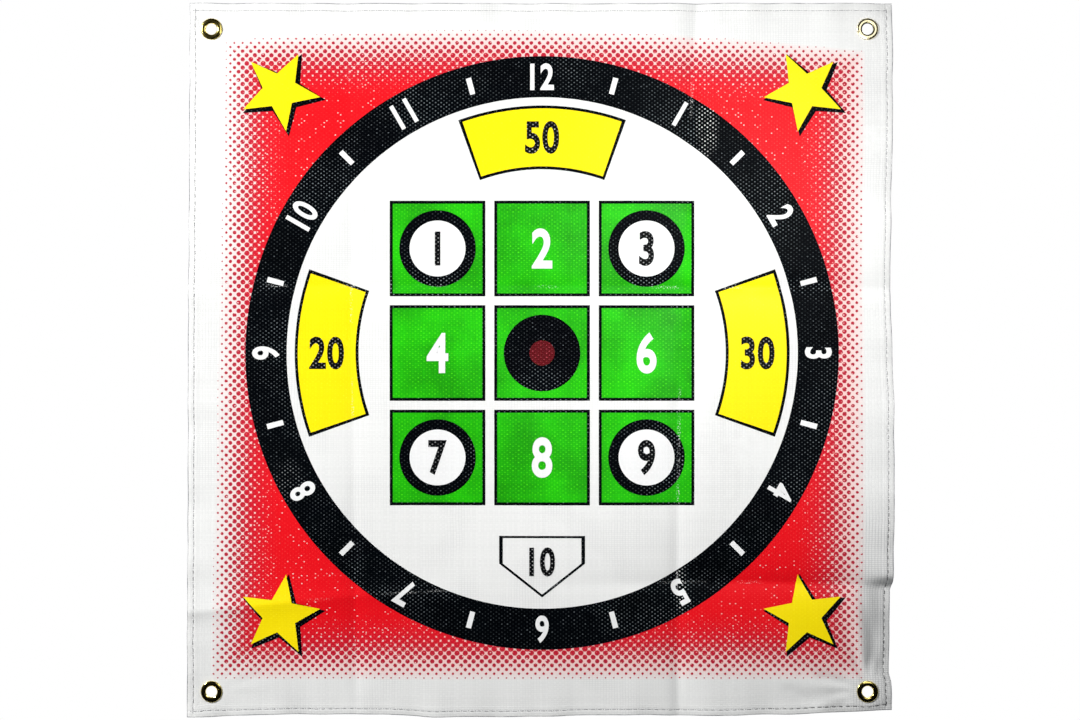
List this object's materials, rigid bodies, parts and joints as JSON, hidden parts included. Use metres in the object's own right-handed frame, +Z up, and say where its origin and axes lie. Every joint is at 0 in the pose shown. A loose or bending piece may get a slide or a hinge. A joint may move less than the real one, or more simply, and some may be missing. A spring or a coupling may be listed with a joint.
{
  "type": "pitching target",
  "caption": "Square pitching target of woven plastic cloth with turned, stitched hems and a brass eyelet clinched in each corner; it hangs flat from its eyelets.",
  "frame": {"origin": "centre of the four eyelets, on the middle of the cloth's thickness", "axes": "+Z up, +X to the right as the pitcher sees the target, -Y out of the printed front"},
  "size_m": [0.753, 0.0062, 0.762],
  "materials": {
    "woven_cloth": "white woven plastic tape cloth, printed on the front",
    "eyelet_brass": "bright pressed brass",
    "seam_thread": "grey polyester sewing thread"
  },
  "bodies": {
    "root": {"target_sheet": "woven_cloth", "eyelet_top_left": "eyelet_brass", "eyelet_top_right": "eyelet_brass", "eyelet_bottom_left": "eyelet_brass", "eyelet_bottom_right": "eyelet_brass", "washer_top_left": "eyelet_brass", "washer_top_right": "eyelet_brass", "washer_bottom_left": "eyelet_brass", "washer_bottom_right": "eyelet_brass", "needle_thread_left": "seam_thread", "needle_thread_right": "seam_thread", "needle_thread_top": "seam_thread", "needle_thread_bottom": "seam_thread", "bobbin_thread_left": "seam_thread", "bobbin_thread_right": "seam_thread", "bobbin_thread_top": "seam_thread", "bobbin_thread_bottom": "seam_thread"}
  },
  "joints": []
}
